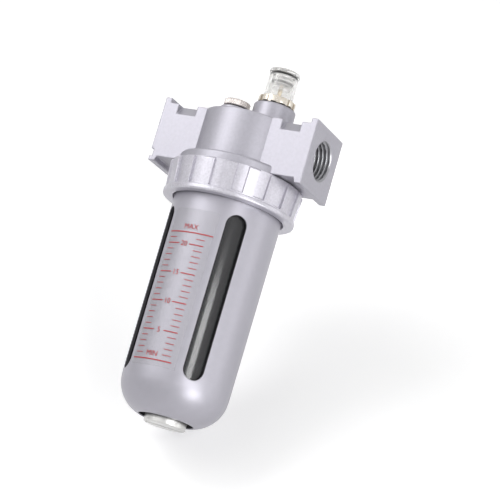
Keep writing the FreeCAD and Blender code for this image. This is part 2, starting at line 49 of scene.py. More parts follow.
LIP_TOP, LIP_BOTTOM, LIP_X, LIP_FOOT_X = 10.1, -10.9, 24.3, 23.7
HUB_RADIUS, HUB_TOP, HUB_ROOT = 15.5, 8.47, -14.0
COLLAR_RADIUS, COLLAR_TOP, COLLAR_BOTTOM, COLLAR_CORE = 19.0, -6.74, -9.5, 18.0
SKIRT_RADIUS, SKIRT_TOP, SKIRT_BOTTOM = 18.6, -9.4, -14.6
SKIRT_PITCH, SKIRT_THREAD_DEPTH, SKIRT_RUN_OUT = 2.0, 0.62, 0.6
SPIGOT_RADIUS, SPIGOT_BORE, SPIGOT_BOTTOM, SPIGOT_TOP = 13.2, 12.2, -16.6, -14.3
CAST_EDGE_ROUND = 0.32

# Wedge cuts at the upper edge of both necks, and the notch in the inlet end
WEDGE_START, WEDGE_END, WEDGE_DEPTH = 14.9, 21.4, 6.6
WEDGE_FOOT, WEDGE_TOP, WEDGE_OUTSIDE = 4.6, 9.0, 11.0
NOTCH_X, NOTCH_TOP, NOTCH_OUTSIDE = -25.55, -7.1, -27.5
NOTCH_NEAR_Y, NOTCH_FAR_Y = 8.5, 11.5

# Ports: quarter inch pipe thread
PORT_RADIUS, PORT_THREAD_DEPTH, PORT_PITCH, PORT_DEPTH = 6.58, 0.86, 1.337, 12.6
PORT_CUTTER_X, PORT_FLARE = 14.5, 0.34
PASSAGE_RADIUS, BARE_METAL_SHADE_X = 5.0, 6.0

# Places of what stands on the hub or hangs under it
DOME_X, PLUG_X, CHECK_X = 5.8, -7.4, -10.25
RISER_X, RISER_Y = 6.187, 7.919
CHANNEL_X, CHANNEL_Y = -6.524, 7.246
BOSS_ROOT, BOSS_FOOT = 7.5, 8.44

# Sight dome's base: a notched nut on a shank
DOME_BASE_RADIUS, DOME_SHANK_RADIUS, DOME_SOCKET_RADIUS = 5.9, 4.38, 4.72
DOME_SHANK_BOTTOM, DOME_BASE_BOTTOM, DOME_SOCKET_FLOOR, DOME_BASE_TOP = 11.9, 15.3, 16.4, 17.4
DOME_DRIP_RADIUS, DOME_NOTCHES, DOME_NOTCH_FLOOR = 0.8, 12, 5.45

# Sight dome's tube, drip knob and needle
TUBE_RADIUS, TUBE_FOOT_RADIUS, TUBE_BORE, TUBE_BOTTOM, TUBE_TOP = 4.7, 4.69, 3.5, 16.42, 24.95
KNOB_RADIUS, KNOB_STEM_RADIUS, KNOB_GROOVE_RADIUS = 4.87, 2.9, 2.6
KNOB_STEM_BOTTOM, KNOB_GROOVE_BOTTOM, KNOB_GROOVE_TOP = 20.67, 22.27, 23.27
KNOB_BOTTOM, KNOB_TOP, KNOB_SLOT_FLOOR, KNOB_SLOT_HALF_WIDTH = 25.67, 26.77, 26.32, 0.5
NEEDLE_RADIUS, NEEDLE_TIP_RADIUS = 0.68, 0.25
NEEDLE_TIP, NEEDLE_SHOULDER, NEEDLE_TOP = 15.6, 17.0, 22.15

# Fill plug: knurled head with a dish in its top, and a threaded stem
PLUG_HEAD_RADIUS, KNURL_BOTTOM, KNURL_TOP = 4.2, 13.2, 14.8
KNURL_PITCH, KNURL_STEEPNESS, KNURL_DEPTH, KNURL_ROW = 0.56, 0.8, 0.22, 0.07
PLUG_FACE_RADIUS, PLUG_SHOULDER_RADIUS, PLUG_DISH_RADIUS, PLUG_DISH_FLOOR = 3.9, 4.05, 2.4, 14.9
PLUG_BOTTOM, PLUG_TOP = 12.95, 15.05
PLUG_STEM_RADIUS, PLUG_STEM_BOTTOM, PLUG_STEM_PITCH, PLUG_STEM_THREAD = 2.9, 8.0, 1.0, 0.3

# Lock ring
RING_TOP, RING_LIP_TOP, RING_BOTTOM = -9.82, -18.9, -20.4
RING_RADIUS, RING_SHOULDER, RING_TAPER, RING_TAPER_LENGTH = 21.2, -10.32, 0.7, 8.58
RING_BORE, RING_LIP_BORE, RING_LIP_RADIUS = 18.68, 17.6, 20.9
GROOVES, GROOVE_DEPTH, GROOVE_HALF_ANGLE, GROOVE_EDGE_ANGLE = 18, 0.8, 5.25, 0.5
GROOVE_BOTTOM, GROOVE_RUN_OUT, GROOVE_TURN = -18.45, 0.45, 0.5
GROOVE_INNER_LIMIT, GROOVE_LOW_LIMIT = 19.5, -18.6

# Guard and its slots
GUARD_TOP_RADIUS, GUARD_TAPER, GUARD_TAPER_LENGTH, GUARD_WALL = 17.07, 0.35, 69.4, 1.0
GUARD_FLANGE_RADIUS, GUARD_FLANGE_TOP = 18.5, -17.3
GUARD_BEND_X, GUARD_BEND_Z, GUARD_BEND_RADIUS, GUARD_BEND_END = 5.92, -77.5, 10.8, -74
SLOT_TOP, SLOT_BOTTOM, SLOT_HALF_WIDTH, SLOT_AZIMUTH = -24.5, -76.4, 3.35, 41
SLOTS, SLOT_SKIN_RADIUS, SLOT_END_STEPS = 4, 16.9, 24

# Clear bowl
BOWL_RADIUS, BOWL_BORE, BOWL_FLANGE = 15.3, 13.3, 17.8
BOWL_TOP, BOWL_FLANGE_BOTTOM, BOWL_BOTTOM, BOWL_FLOOR = -14.7, -17.28, -85.2, -83.2
BOWL_MOUTH_RADIUS, BOWL_MOUTH_FLOOR, BOWL_DRAIN_RADIUS = 15.2, -16.5, 4.5

# Siphon tube with its filter
PICKUP_RADIUS, PICKUP_BORE, PICKUP_TOP, PICKUP_BOTTOM = 2.0, 1.25, -15.6, -76.5
FILTER_RADIUS, FILTER_BORE = 3.0, 2.02
FILTER_TOP, FILTER_BOTTOM, FILTER_FLOOR = -72.5, -78.5, -76.52

# Drain fitting: bush with a recess below, washer, and screw with a slotted head
BUSH_RADIUS, BUSH_SHANK_RADIUS, BUSH_RECESS_RADIUS, BUSH_BORE = 6.55, 4.45, 5.78, 2.98
BUSH_TOP, BUSH_SEAT, BUSH_RECESS_TOP, BUSH_BOTTOM = -80.8, -86.2, -88.32, -89.7
DRAIN_HEAD_RADIUS, DRAIN_NECK_RADIUS, DRAIN_STEM_RADIUS = 5.7, 5.16, 2.9
DRAIN_STEM_TOP, DRAIN_HEAD_TOP, DRAIN_NECK_TOP, PART_BOTTOM = -82.62, -88.4, -88.82, -89.8
DRAIN_SLOT_TOP, DRAIN_SLOT_HALF_WIDTH, DRAIN_SLOT_TURN = -89.1, 0.7, 35

# Level scale: angles in degrees round the guard from -Y
SCALE_SKIN_RADIUS = 17.0
FILM_LEFT, FILM_RIGHT, FILM_TOP, FILM_BOTTOM = -31.0, 22.5, -25.7, -75.2
FILM_LIFTS, INK_LIFT = (0.01, 0.13), 0.145
SCALE_TOP, SCALE_BOTTOM, SCALE_STEPS, SCALE_MAIN = -33.2, -73.3, 22, 5
LETTER_SIZE, LETTER_RISE = 2.3, 1.75

# Radius that counts as the axis, and distance within which points are merged
ON_AXIS, MERGE_DISTANCE = 1e-6, 1e-5

# Share of a plain sine wave in a thread's profile; the rest is straight flanks
THREAD_ROUNDNESS = 0.35

MM = 0.001
TO_FRAME = Matrix.Translation((HALF_LENGTH * MM, 0, 0)) @ Matrix.Scale(MM, 4)


# Mesh helpers

def add_object(name, data):
    obj = bpy.data.objects.new(name, data)
    bpy.context.scene.collection.objects.link(obj)
    return obj


def make(name, verts, faces):
    mesh = bpy.data.meshes.new(name)
    mesh.from_pydata([tuple(v) for v in verts], [], faces)
    shell = bmesh.new()
    shell.from_mesh(mesh)
    bmesh.ops.remove_doubles(shell, verts=shell.verts, dist=MERGE_DISTANCE)
    bmesh.ops.recalc_face_normals(shell, faces=shell.faces)
    shell.to_mesh(mesh)
    shell.free()
    return add_object(name, mesh)


def rounded(points, step=14.0):
    """Closed loop of pairs; a third value in a point rounds that corner."""
    loop = []
    for index, point in enumerate(points):
        here = Vector(point[:2])
        if len(point) < 3:
            loop.append(here)
            continue
        back = (Vector(points[index - 1][:2]) - here).normalized()
        ahead = (Vector(points[(index + 1) % len(points)][:2]) - here).normalized()
        half = back.angle(ahead) / 2
        centre = here + (back + ahead).normalized() * (point[2] / math.sin(half))
        start = here + back * (point[2] / math.tan(half)) - centre
        finish = here + ahead * (point[2] / math.tan(half)) - centre
        first = math.atan2(start.y, start.x)
        sweep = (math.atan2(finish.y, finish.x) - first + math.pi) % math.tau - math.pi
        steps = max(2, round(abs(math.degrees(sweep)) / step))
        for k in range(steps + 1):
            angle = first + sweep * k / steps
            loop.append(centre + Vector((math.cos(angle), math.sin(angle))) * point[2])
    return loop


def skin(rings):
    """Faces between neighbouring rings of a closed loop of rings."""
    faces = []
    for a, b in zip(rings, rings[1:] + rings[:1]):
        if len(a) == 1 and len(b) == 1:
            continue
        count = max(len(a), len(b))
        for k in range(count):
            n = (k + 1) % count
            if len(a) == 1:
                faces.append((a[0], b[n], b[k]))
            elif len(b) == 1:
                faces.append((a[k], a[n], b[0]))
            else:
                faces.append((a[k], a[n], b[n], b[k]))
    return faces


def lathe(name, points, segments=96, x=0.0, y=0.0, step=14.0, change=None, angles=None):
    """Solid turned about an upright axis from a closed profile of radius and height."""
    if angles is None:
        angles = [math.tau * k / segments for k in range(segments)]
    verts, rings = [], []
    for radius, height in rounded(points, step):
        if radius < ON_AXIS:
            rings.append([len(verts)])
            verts.append((x, y, height))
            continue
        rings.append(list(range(len(verts), len(verts) + len(angles))))
        for angle in angles:
            reach = change(radius, height, angle) if change else radius
            verts.append((x + reach * math.cos(angle), y + reach * math.sin(angle), height))
    return make(name, verts, skin(rings))


def upright(radius, bottom, top, x=0.0, y=0.0, segments=48):
    profile = [(0, bottom), (radius, bottom), (radius, top), (0, top)]
    return lathe("rod", profile, segments, x, y)


def o_ring(name, radius, height, thickness, sides):
    """Ring of round section about the dome's axis."""
    turns = [math.tau * k / sides for k in range(sides)]
    return lathe(name, [(radius + thickness * math.cos(t), height + thickness * math.sin(t))
                        for t in turns], 96, DOME_X)


def bend(radius, height, size, start, finish, step=5.0):
    """Arc of a profile about a centre, from one angle in degrees to another."""
    steps = max(1, round(abs(finish - start) / step))
    turns = [math.radians(start + (finish - start) * k / steps) for k in range(steps + 1)]
    return [(radius + size * math.cos(t), height + size * math.sin(t)) for t in turns]


def spaced(low, high, pitch):
    count = max(1, round(abs(high - low) / pitch))
    return [low + (high - low) * k / count for k in range(count + 1)]


def screw(name, crest, depth, pitch, bottom, top, x=0.0, y=0.0, segments=96, fade=0.5,
          mouth=0.0, per_turn=14):
    """Solid rod with a rounded right-handed thread.

    The thread runs out over the length fade, and mouth widens the rod's top end.
    """
    def reach(radius, height, angle):
        if radius < crest - ON_AXIS:
            return radius
        phase = height / pitch - angle / math.tau
        wave = 0.5 - 0.5 * math.cos(math.tau * phase)
        flank = math.acos(1 - 2 * wave) / math.pi
        share = THREAD_ROUNDNESS * wave + (1 - THREAD_ROUNDNESS) * flank
        if fade:
            share *= min(1.0, (height - bottom) / fade, (top - height) / fade)
        cut = crest - depth * share
        return max(cut, crest + mouth - (top - height)) if mouth else cut
    rows = [(crest, height) for height in spaced(bottom, top, pitch / per_turn)]
    return lathe(name, [(0, bottom)] + rows + [(0, top)], segments, x, y, change=reach)


def prism(name, corners, low, high, axis="y"):
    """Flat outline pushed from low to high along an axis."""
    def put(a, b, c):
        return (a, c, b) if axis == "y" else (a, b, c)
    count = len(corners)
    verts = [put(a, b, low) for a, b in corners] + [put(a, b, high) for a, b in corners]
    faces = [tuple(range(count)), tuple(range(2 * count - 1, count - 1, -1))]
    faces += [(k, (k + 1) % count, count + (k + 1) % count, count + k) for k in range(count)]
    return make(name, verts, faces)


def settle(obj):
    """Applies an object's modifiers to its mesh."""
    graph = bpy.context.evaluated_depsgraph_get()
    mesh = bpy.data.meshes.new_from_object(obj.evaluated_get(graph))
    obj.modifiers.clear()
    obj.data = mesh
    return obj


def combine(obj, others, operation="DIFFERENCE"):
    for other in others:
        step = obj.modifiers.new("combine", "BOOLEAN")
        step.operation, step.solver, step.object = operation, "EXACT", other
    settle(obj)
    for other in others:
        bpy.data.objects.remove(other, do_unlink=True)
    return obj


def soften(obj, width, segments=3, angle=30.0):
    step = obj.modifiers.new("soften", "BEVEL")
    step.width, step.segments, step.limit_method = width, segments, "ANGLE"
    step.angle_limit = math.radians(angle)
    return settle(obj)


def moved(obj, matrix):
    obj.data.transform(matrix)
    if matrix.determinant() < 0:
        obj.data.flip_normals()
    return obj


def dress(obj, body, material, nodes=(), smooth=38.0, weighted=False):
    """Moves a finished piece to the frame, and gives it its body, slot and material."""
    obj.data.transform(TO_FRAME)
    obj.data.shade_smooth()
    obj.data.set_sharp_from_angle(angle=math.radians(smooth))
    if not obj.data.materials:
        obj.data.materials.append(material)
    if weighted:
        step = obj.modifiers.new("normals", "WEIGHTED_NORMAL")
        step.keep_sharp = True
    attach(obj, body)
    if nodes:
        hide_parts(*nodes)
    return obj


# Materials

def noise(nodes, links, place, size, detail):
    """Noise with features of a size in millimetres."""
    made = nodes.new("ShaderNodeTexNoise")
    made.inputs["Scale"].default_value = 1 / (size * MM)
    made.inputs["Detail"].default_value = detail
    links.new(place.outputs["Object"], made.inputs["Vector"])
    return made.outputs["Fac"]


def material(name, colour, roughness, metallic=0.0, tint=0.04, tint_size=3.0, grain=0.0,
             grain_size=0.35, rough_change=0.06, alpha=1.0, **sockets):
    """Procedural finish: slow drift of colour and gloss, and a fine bump.

    tint and rough_change say how far colour and gloss drift, grain how high the
    bump is. grain and the two sizes are in millimetres.
    """
    made = bpy.data.materials.new(name)
    made.use_nodes = True
    nodes, links = made.node_tree.nodes, made.node_tree.links
    shader = nodes["Principled BSDF"]
    place = nodes.new("ShaderNodeTexCoord")

    drift = noise(nodes, links, place, tint_size, detail=4)
    shade = nodes.new("ShaderNodeValToRGB")
    dark, light = shade.color_ramp.elements
    dark.position, light.position = 0.3, 0.7
    dark.color = [c * (1 - tint) for c in colour] + [1]
    light.color = [min(1, c * (1 + tint)) for c in colour] + [1]
    links.new(drift, shade.inputs["Fac"])
    links.new(shade.outputs["Color"], shader.inputs["Base Color"])
    gloss = nodes.new("ShaderNodeMapRange")
    gloss.inputs["To Min"].default_value = max(0.0, roughness - rough_change)
    gloss.inputs["To Max"].default_value = min(1.0, roughness + rough_change)
    links.new(drift, gloss.inputs["Value"])
    links.new(gloss.outputs["Result"], shader.inputs["Roughness"])
    if grain:
        bump = nodes.new("ShaderNodeBump")
        bump.inputs["Strength"].default_value = 1.0
        bump.inputs["Distance"].default_value = grain * MM
        links.new(noise(nodes, links, place, grain_size, detail=3), bump.inputs["Height"])
        links.new(bump.outputs["Normal"], shader.inputs["Normal"])
    shader.inputs["Metallic"].default_value = metallic
    shader.inputs["Alpha"].default_value = alpha
    for key, value in sockets.items():
        shader.inputs[key.replace("_", " ")].default_value = value
    return made


SILVER = (0.400, 0.390, 0.436)
RING_SILVER = (0.530, 0.517, 0.570)
CLEAR = (0.97, 0.965, 0.955)

cast_paint = material("cast_paint", SILVER, 0.42, metallic=0.6, tint=0.05, tint_size=0.9,
                      grain=0.045, grain_size=0.30)
ring_paint = material("ring_paint", RING_SILVER, 0.36, metallic=0.6, tint=0.10, tint_size=0.6,
                      grain=0.040, grain_size=0.28)
guard_paint = material("guard_paint", SILVER, 0.42, metallic=0.6, tint=0.02, tint_size=2.0,
                       grain=0.006, grain_size=0.25)
# Near-black painted shade for the guard's unlit inside and slot walls, not the guard's own colour
guard_inside_painted_shade = material("guard_inside_painted_shade", (0.035, 0.035, 0.04), 0.6, tint=0.1, tint_size=4.0,
                        grain=0.02, grain_size=0.3)
# Bare metal of the port threads, its colour darkened as painted shade inside the ports
thread_metal_and_shade = material("thread_metal_and_shade", (0.34, 0.34, 0.36), 0.30, metallic=0.7, tint=0.05,
                        tint_size=1.0, grain=0.01, grain_size=0.2)
dome_nickel = material("dome_nickel", (0.66, 0.61, 0.54), 0.26, metallic=0.85, tint=0.08,
                       tint_size=1.5, grain=0.008, grain_size=0.2)
plug_nickel = material("plug_nickel", (0.76, 0.71, 0.68), 0.28, metallic=0.7, tint=0.06,
                       tint_size=1.5, grain=0.006, grain_size=0.2)
drain_nickel = material("drain_nickel", (0.60, 0.595, 0.585), 0.32, metallic=0.85, tint=0.04,
                        tint_size=2.0, grain=0.004, grain_size=0.2)
brass = material("brass", (0.60, 0.50, 0.34), 0.28, metallic=0.95, tint=0.06, tint_size=1.5,
                 grain=0.004, grain_size=0.2)
bronze = material("sintered_bronze", (0.42, 0.26, 0.13), 0.6, metallic=0.6, tint=0.15,
                  tint_size=0.6, grain=0.08, grain_size=0.25)
ball_steel = material("ball_steel", (0.62, 0.62, 0.64), 0.12, metallic=1.0, tint=0.03,
                      tint_size=2.0, grain=0.001, grain_size=0.2)
acetal = material("acetal", (0.72, 0.72, 0.70), 0.45, tint=0.03, tint_size=3.0, grain=0.006,
                  grain_size=0.4)
soft_rubber = material("soft_rubber", (0.03, 0.03, 0.03), 0.7, tint=0.1, tint_size=2.0,
                       grain=0.01, grain_size=0.3)
seal_black = material("seal_black", (0.006, 0.006, 0.007), 0.45, tint=0.1, tint_size=2.0,
                      grain=0.004, grain_size=0.3)
dome_clear = material("dome_clear", CLEAR, 0.05, tint=0.01, tint_size=4.0, rough_change=0.01,
                      Transmission_Weight=0.82, IOR=1.42)
knob_clear = material("knob_clear", CLEAR, 0.08, tint=0.01, tint_size=4.0, rough_change=0.02,
                      Transmission_Weight=0.8, IOR=1.45)
# Clear bowl whose dark grey tint is painted shade of the unlit space inside the guard
bowl_clear = material("bowl_clear", (0.18, 0.18, 0.19), 0.13, tint=0.02, tint_size=6.0,
                      rough_change=0.02, Transmission_Weight=0.8, IOR=1.4,
                      Specular_IOR_Level=0.35)
tube_clear = material("tube_clear", (0.85, 0.87, 0.86), 0.15, tint=0.02, tint_size=4.0,
                      Transmission_Weight=0.8, IOR=1.4)
label_film = material("label_film", (0.80, 0.79, 0.82), 0.30, tint=0.02, tint_size=8.0,
                      rough_change=0.03, alpha=0.10)
label_red = material("label_red", (0.55, 0.05, 0.06), 0.5, tint=0.12, tint_size=0.8)


# Casting

def port_tap(side):
    """Threaded cutter for one port; its wide end stands a little outside the port's face."""
    tap = screw("tap", PORT_RADIUS, PORT_THREAD_DEPTH, PORT_PITCH, 0.0, PORT_DEPTH, fade=0.0,
                mouth=PORT_FLARE)
    turn = Matrix.Rotation(math.radians(90 * side), 4, "Y")
    return moved(tap, Matrix.Translation((side * PORT_CUTTER_X, 0, 0)) @ turn)


def port_block():
    side = [(LIP_FOOT_X, BLOCK_BOTTOM), (LIP_X, LIP_BOTTOM), (HALF_LENGTH, LIP_BOTTOM),
            (HALF_LENGTH, LIP_TOP), (LIP_X, LIP_TOP), (LIP_X, BLOCK_TOP)]
    outline = side + [(-x, z) for x, z in reversed(side)]
    blank = prism("casting", outline, -BLOCK_HALF_WIDTH, BLOCK_HALF_WIDTH)
    cuts = []
    for x_side in (-1, 1):
        across = Matrix(((0, x_side, 0, 0), (1, 0, 0, 0), (0, 0, 1, 0), (0, 0, 0, 1)))
        for y_side in (-1, 1):
            wedge = [(y_side * WEDGE_OUTSIDE, WEDGE_FOOT), (y_side * WEDGE_DEPTH, WEDGE_TOP),
                     (y_side * WEDGE_OUTSIDE, WEDGE_TOP)]
            cuts.append(moved(prism("wedge", wedge, WEDGE_START, WEDGE_END), across))
    notch = [(NOTCH_OUTSIDE, BLOCK_BOTTOM), (NOTCH_X, BLOCK_BOTTOM), (NOTCH_X, NOTCH_TOP),
             (NOTCH_OUTSIDE, NOTCH_TOP)]
    for low, high in ((NOTCH_NEAR_Y, NOTCH_FAR_Y), (-NOTCH_FAR_Y, -NOTCH_NEAR_Y)):
        cuts.append(prism("corner", notch, low, high))
    combine(blank, cuts)
    return soften(blank, CAST_EDGE_ROUND)


def boss(x, foot, radius, fillet, top, edge):
    """Round boss on the hub, with a fillet at its foot and a rounded top edge."""
    return lathe("boss", [(0, BOSS_ROOT), (foot, BOSS_ROOT), (foot, BOSS_FOOT),
                          (radius, BOSS_FOOT, fillet), (radius, top, edge), (0, top)],
                 96, x, step=10)


def casting():
    blank = port_block()
    hub = lathe("hub", [(0, HUB_ROOT), (COLLAR_CORE, HUB_ROOT), (COLLAR_CORE, COLLAR_BOTTOM),
                        (COLLAR_RADIUS, COLLAR_BOTTOM, 0.15), (COLLAR_RADIUS, COLLAR_TOP, 0.9),
                        (HUB_RADIUS, COLLAR_TOP, 0.35), (HUB_RADIUS, HUB_TOP, 0.5),
                        (0, HUB_TOP)], 160, step=10)
    skirt = screw("skirt", SKIRT_RADIUS, SKIRT_THREAD_DEPTH, SKIRT_PITCH, SKIRT_BOTTOM,
                  SKIRT_TOP, segments=120, fade=SKIRT_RUN_OUT, per_turn=12)
    spigot = upright(SPIGOT_RADIUS, SPIGOT_BOTTOM, SPIGOT_TOP, segments=96)
    dome_boss = boss(DOME_X, 7.77, 6.67, 1.05, 14.8, 0.6)
    plug_boss = boss(PLUG_X, 5.8, 4.9, 0.85, 12.5, 0.5)
    combine(blank, [hub, skirt, spigot, dome_boss, plug_boss], "UNION")

    passage = moved(upright(PASSAGE_RADIUS, -30, 30, segments=64),
                    Matrix.Rotation(math.radians(90), 4, "Y"))
    spigot_bore = upright(SPIGOT_BORE, -17.0, SKIRT_BOTTOM, segments=96)
    holder_seats = [upright(7.3, -15.0, 5.6), upright(8.1, -15.0, -12.8)]
    dome_socket = upright(4.4, 11.0, 15.5, DOME_X)
    plug_bore = upright(2.95, 7.4, 13.0, PLUG_X)
    check_bores = [upright(1.8, -15.0, -10.2, CHECK_X), upright(1.2, -11.0, 0.0, CHECK_X)]
    fill_channel = upright(1.3, -15.0, 7.4, CHANNEL_X, CHANNEL_Y, 24)
    combine(blank, [passage, spigot_bore] + holder_seats + [dome_socket, plug_bore]
            + check_bores + [fill_channel, port_tap(1), port_tap(-1)])

    blank.data.materials.clear()
    blank.data.materials.append(cast_paint)
    blank.data.materials.append(thread_metal_and_shade)
    # Thread faces in the ports get the bare metal, darkened as painted shade
    for face in blank.data.polygons:
        off_axis = math.hypot(face.center.y, face.center.z)
        in_port = abs(face.center.x) > BARE_METAL_SHADE_X and off_axis < PORT_RADIUS - 0.02
        if in_port and abs(face.normal.x) < 0.9:
            face.material_index = 1
    return dress(blank, "body", cast_paint, ["main_body"], 40, weighted=True)


casting()


# Sight dome, its base and its knob

def dome_base():
    base = lathe("dome_base_nut", [(0, DOME_SHANK_BOTTOM), (DOME_SHANK_RADIUS, DOME_SHANK_BOTTOM),
                                   (DOME_SHANK_RADIUS, DOME_BASE_BOTTOM),
                                   (DOME_BASE_RADIUS, DOME_BASE_BOTTOM, 0.25),
                                   (DOME_BASE_RADIUS, DOME_BASE_TOP, 0.3), (0, DOME_BASE_TOP)],
                 144, DOME_X)
    socket = upright(DOME_SOCKET_RADIUS, DOME_SOCKET_FLOOR, 18.0, DOME_X, segments=96)
    drip_hole = upright(DOME_DRIP_RADIUS, 11.0, 17.0, DOME_X, segments=32)
    cuts = [socket, drip_hole]
    for index in range(DOME_NOTCHES):
        turn = Matrix.Rotation(math.radians(360 / DOME_NOTCHES * index), 4, "Z")
        cutter = prism("notch", [(DOME_NOTCH_FLOOR, -0.6), (7.0, -0.75), (7.0, 0.75),
                                 (DOME_NOTCH_FLOOR, 0.6)], 15.0, 18.0, axis="z")
        cuts.append(moved(cutter, Matrix.Translation((DOME_X, 0, 0)) @ turn))
    combine(base, cuts)
    soften(base, 0.08, 2, 40)
    dress(base, "body", dome_nickel, ["dome_base"], 35, weighted=True)

    seal = lathe("dome_base_gasket", [(4.42, 14.82), (5.6, 14.82, 0.12), (5.6, 15.28, 0.12),
                                      (4.42, 15.28)], 96, DOME_X)
    dress(seal, "body", seal_black, ["dome_base_seal"])


def sight_dome():
    glass = lathe("sight_tube", [(TUBE_BORE, TUBE_BOTTOM), (TUBE_FOOT_RADIUS, TUBE_BOTTOM),
                                 (TUBE_RADIUS, TUBE_TOP, 0.3), (TUBE_BORE, TUBE_TOP, 0.3)],
                  96, DOME_X)
    dress(glass, "body", dome_clear, ["sight_dome"])


def drip_knob():
    ring = o_ring("knob_o_ring", 4.04, 25.31, 0.33, 20)
    dress(ring, "knob_seals", seal_black, ["knob_seal"])
    ring = o_ring("stem_o_ring", 3.05, 22.77, 0.39, 24)
    dress(ring, "knob_seals", seal_black, ["stem_seal"])

    stem = [(0, KNOB_STEM_BOTTOM), (KNOB_STEM_RADIUS, KNOB_STEM_BOTTOM, 0.2),
            (KNOB_STEM_RADIUS, KNOB_GROOVE_BOTTOM), (KNOB_GROOVE_RADIUS, KNOB_GROOVE_BOTTOM),
            (KNOB_GROOVE_RADIUS, KNOB_GROOVE_TOP), (KNOB_STEM_RADIUS, KNOB_GROOVE_TOP),
            (KNOB_STEM_RADIUS, KNOB_BOTTOM, 0.1)]
    head = [(KNOB_RADIUS, KNOB_BOTTOM, 0.1), (KNOB_RADIUS, KNOB_TOP, 0.35), (0, KNOB_TOP)]
    knob = lathe("drip_adjuster", stem + head, 96, DOME_X)
    near, far = -KNOB_SLOT_HALF_WIDTH, KNOB_SLOT_HALF_WIDTH
    slot = prism("slot", [(DOME_X - 3, near), (DOME_X + 3, near), (DOME_X + 3, far),
                          (DOME_X - 3, far)], KNOB_SLOT_FLOOR, 27.5, axis="z")
    needle_bore = upright(0.7, 20.0, 22.17, DOME_X, segments=32)
    combine(knob, [slot, needle_bore])
    dress(knob, "drip_knob", knob_clear, ["drip_knob"], 30)

    needle = lathe("drip_pin", [(0, NEEDLE_TIP), (NEEDLE_TIP_RADIUS, NEEDLE_TIP, 0.1),
                                (NEEDLE_RADIUS, NEEDLE_SHOULDER), (NEEDLE_RADIUS, NEEDLE_TOP),
                                (0, NEEDLE_TOP)], 32, DOME_X)
    dress(needle, "drip_knob", brass, ["drip_needle"])


dome_base()
sight_dome()
drip_knob()


# Fill plug

def fill_plug():
    around = round(math.tau * PLUG_HEAD_RADIUS / KNURL_PITCH)

    def knurl(radius, height, angle):
        """Crossed grooves: two sets of ridges that wind round the head both ways."""
        if radius < PLUG_HEAD_RADIUS - 0.01 or not KNURL_BOTTOM < height < KNURL_TOP:
            return radius
        turn = angle * around / math.tau
        rise = height / KNURL_PITCH * KNURL_STEEPNESS
        crest = abs((turn + rise) % 1 - 0.5) + abs((turn - rise) % 1 - 0.5)
        return radius - KNURL_DEPTH * (1 - crest)

    below = [(0, PLUG_BOTTOM), (PLUG_FACE_RADIUS, PLUG_BOTTOM), (PLUG_SHOULDER_RADIUS, 13.1)]
    rows = [(PLUG_HEAD_RADIUS, z) for z in spaced(KNURL_BOTTOM, KNURL_TOP, KNURL_ROW)]
    above = [(PLUG_SHOULDER_RADIUS, 14.9), (PLUG_FACE_RADIUS, PLUG_TOP), (2.6, PLUG_TOP),
             (PLUG_DISH_RADIUS, PLUG_DISH_FLOOR), (0, PLUG_DISH_FLOOR)]
    head = lathe("fill_plug_head", below + rows + above, around * 8, PLUG_X, change=knurl)
    stem = screw("stem", PLUG_STEM_RADIUS, PLUG_STEM_THREAD, PLUG_STEM_PITCH,
                 PLUG_STEM_BOTTOM, KNURL_BOTTOM, PLUG_X, segments=64, per_turn=10)
    combine(head, [stem], "UNION")
    dress(head, "fill_plug", plug_nickel, ["fill_plug"], 50)
    seal = lathe("fill_plug_gasket", [(2.97, 12.52), (3.9, 12.52, 0.1), (3.9, 12.93, 0.1),
                                      (2.97, 12.93)], 64, PLUG_X)
    dress(seal, "plug_seal", seal_black, ["fill_plug_seal"])


fill_plug()


# Lock ring

def ring_wall(height):
    return RING_RADIUS - RING_TAPER * (RING_SHOULDER - height) / RING_TAPER_LENGTH


def lock_ring():
    between = 360 / GROOVES
    offsets = [-10, -8.5, -7, -5.8, -5.35, -5.25, -5.15, -5.05, -4.95, -4.85, -4.75, -4.6, -3.6,
               -2, -0.7]
    offsets += [-value for value in reversed(offsets[1:])]
    angles = [math.radians(GROOVE_TURN + between * index + value)
              for index in range(GROOVES) for value in offsets]

    def groove(radius, height, angle):
        """Flat-bottomed groove with soft flanks that runs out above the lip."""
        if radius < GROOVE_INNER_LIMIT or height < GROOVE_LOW_LIMIT:
            return radius
        away = abs((math.degrees(angle) - GROOVE_TURN + between / 2) % between - between / 2)
        across = min(1.0, max(0.0, (GROOVE_HALF_ANGLE - away) / GROOVE_EDGE_ANGLE))
        down = min(1.0, max(0.0, (height - GROOVE_BOTTOM) / GROOVE_RUN_OUT))
        share = across * across * (3 - 2 * across) * math.sqrt(down * (2 - down))
        return radius - share * max(0.0, radius - (ring_wall(height) - GROOVE_DEPTH))

    wall = [(ring_wall(z), z) for z in [-10.75, -12.5, -15, -17, -17.7, -18.0, -18.1, -18.2,
                                        -18.3, -18.4, GROOVE_BOTTOM,
                                        GROOVE_LOW_LIMIT]]
    profile = [(RING_BORE, RING_TOP), (20.7, RING_TOP, 0.15),
               (RING_RADIUS, RING_SHOULDER, 0.2)] + wall
    profile += [(20.52, -18.75), (RING_LIP_RADIUS, -18.95, 0.12),
                (RING_LIP_RADIUS, RING_BOTTOM, 0.62), (RING_LIP_BORE, RING_BOTTOM, 0.3),
                (RING_LIP_BORE, RING_LIP_TOP), (RING_BORE, RING_LIP_TOP)]
    ring = lathe("lock_ring_ribbed", profile, angles=angles, change=groove, step=12)
    dress(ring, "lock_ring", ring_paint, ["lock_ring"], 34)


lock_ring()


# Guard with its slots

def guard_radius(height):
    return GUARD_TOP_RADIUS - GUARD_TAPER * (RING_LIP_TOP - height) / GUARD_TAPER_LENGTH


